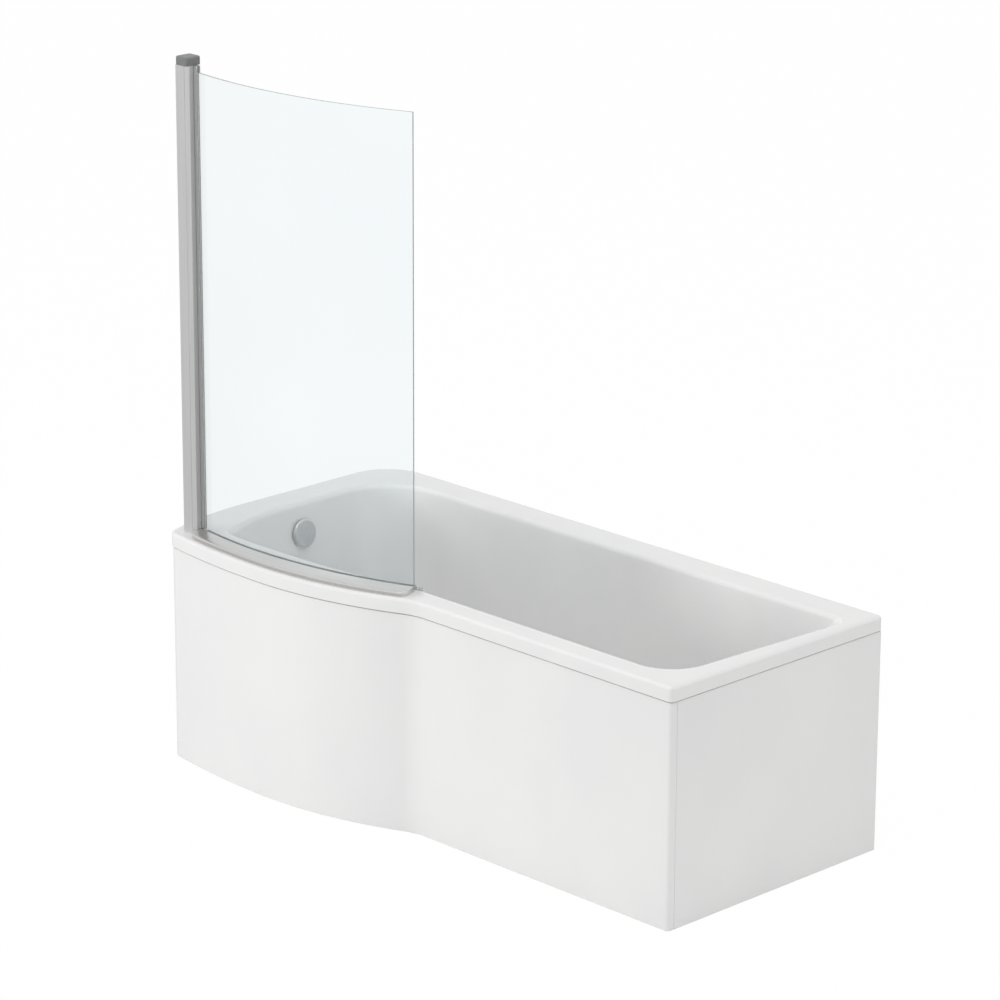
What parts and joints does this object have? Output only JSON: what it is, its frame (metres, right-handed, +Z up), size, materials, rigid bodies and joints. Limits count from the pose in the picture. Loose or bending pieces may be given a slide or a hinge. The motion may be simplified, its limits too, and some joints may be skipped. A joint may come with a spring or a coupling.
{
  "type": "p shaped shower bath",
  "caption": "Acrylic P-shaped shower bath with raised rim, bowed front panel, end panel, pop-up waste, levelling feet and a bent glass screen that swings in on a vertical hinge",
  "frame": {"origin": "middle of the bath's length and width, on the floor under its feet", "axes": "+Z up; +Y towards the wall along the bath's straight side, so -Y is the bowed front; +X towards the narrow end, -X the wide shower end"},
  "size_m": [1.65, 0.8, 1.738],
  "materials": {
    "white_acrylic": "gloss sanitary acrylic",
    "timber": "plain sawn softwood and chipboard sealed in resin",
    "zinc_steel": "zinc plated",
    "satin_aluminium": "satin anodised",
    "grey_plastic": "moulded, fine matt grain",
    "white_plastic": "moulded, satin",
    "black_rubber": "matt",
    "grey_vinyl": "soft extrusion, low sheen",
    "satin_chrome": "polished chrome plate",
    "clear_glass": "clear toughened glass",
    "clear_vinyl": "clear soft extrusion"
  },
  "bodies": {
    "bath": {"bath_shell": "white_acrylic", "base_board": "timber", "rim_batten_back": "timber", "rim_batten_wide_end": "timber", "rim_batten_narrow_end": "timber", "rim_batten_front": "timber", "rim_batten_bow": "timber", "cradle_rail_left": "zinc_steel", "cradle_rail_right": "zinc_steel", "rail_screws": "zinc_steel", "centre_bracket": "zinc_steel", "lock_nuts": "zinc_steel", "front_panel": "white_acrylic", "end_panel": "white_acrylic", "panel_clips": "white_plastic", "floor_batten_front": "timber", "floor_batten_end": "timber", "wall_brackets": "zinc_steel", "bracket_screws": "zinc_steel", "waste_flange": "satin_chrome", "waste_gasket": "black_rubber", "waste_body": "white_plastic", "trap_body": "white_plastic", "trap_nut": "white_plastic", "outlet_nut": "white_plastic", "overflow_collar": "satin_chrome", "overflow_gasket": "black_rubber", "overflow_elbow": "white_plastic", "overflow_hose": "white_plastic", "control_cable": "black_rubber", "wall_channel": "satin_aluminium", "hinge_post": "satin_aluminium", "post_screws": "zinc_steel", "pivot_block_top": "grey_plastic", "pivot_block_bottom": "grey_plastic", "hinge_pins": "zinc_steel", "top_cap": "grey_plastic", "bottom_rail": "satin_aluminium"},
    "screen": {"glass_clamp": "satin_aluminium", "glass_gasket": "grey_vinyl", "glass_panel": "clear_glass", "bottom_seal": "grey_vinyl", "edge_seal": "clear_vinyl"},
    "knob": {"overflow_knob": "satin_chrome", "cable_drum": "white_plastic"},
    "plug_set": {"plug": "satin_chrome", "plug_seal": "black_rubber"},
    "foot_left_front": {"foot_stud_left_front": "zinc_steel", "foot_pad_left_front": "black_rubber"},
    "foot_left_back": {"foot_stud_left_back": "zinc_steel", "foot_pad_left_back": "black_rubber"},
    "foot_right_front": {"foot_stud_right_front": "zinc_steel", "foot_pad_right_front": "black_rubber"},
    "foot_right_back": {"foot_stud_right_back": "zinc_steel", "foot_pad_right_back": "black_rubber"},
    "foot_centre": {"foot_stud_centre": "zinc_steel", "foot_pad_centre": "black_rubber"}
  },
  "joints": [
    {"name": "screen_swing", "type": "hinge", "parent": "bath", "child": "screen", "pos_m": [-0.716, -0.314, 0.574], "axis": [0, 0, 1], "range_deg": [0, 90]},
    {"name": "knob_turn", "type": "hinge", "parent": "bath", "child": "knob", "pos_m": [-0.71528, 0.009, 0.5], "axis": [0.9877, 0, 0.1564], "range_deg": [0, 90]},
    {"name": "plug_rise", "type": "slide", "parent": "bath", "child": "plug_set", "axis": [0, 0, 1], "range_m": [0, 0.01]},
    {"name": "foot_level_left_front", "type": "slide", "parent": "bath", "child": "foot_left_front", "axis": [0, 0, -1], "range_m": [0, 0.02]},
    {"name": "foot_level_left_back", "type": "slide", "parent": "bath", "child": "foot_left_back", "axis": [0, 0, -1], "range_m": [0, 0.02]},
    {"name": "foot_level_right_front", "type": "slide", "parent": "bath", "child": "foot_right_front", "axis": [0, 0, -1], "range_m": [0, 0.02]},
    {"name": "foot_level_right_back", "type": "slide", "parent": "bath", "child": "foot_right_back", "axis": [0, 0, -1], "range_m": [0, 0.02]},
    {"name": "foot_level_centre", "type": "slide", "parent": "bath", "child": "foot_centre", "axis": [0, 0, -1], "range_m": [0, 0.02]}
  ],
  "couplings": [
    {"joint": "plug_rise", "follows": "knob_turn", "m_per_rad": 0.0063662}
  ]
}
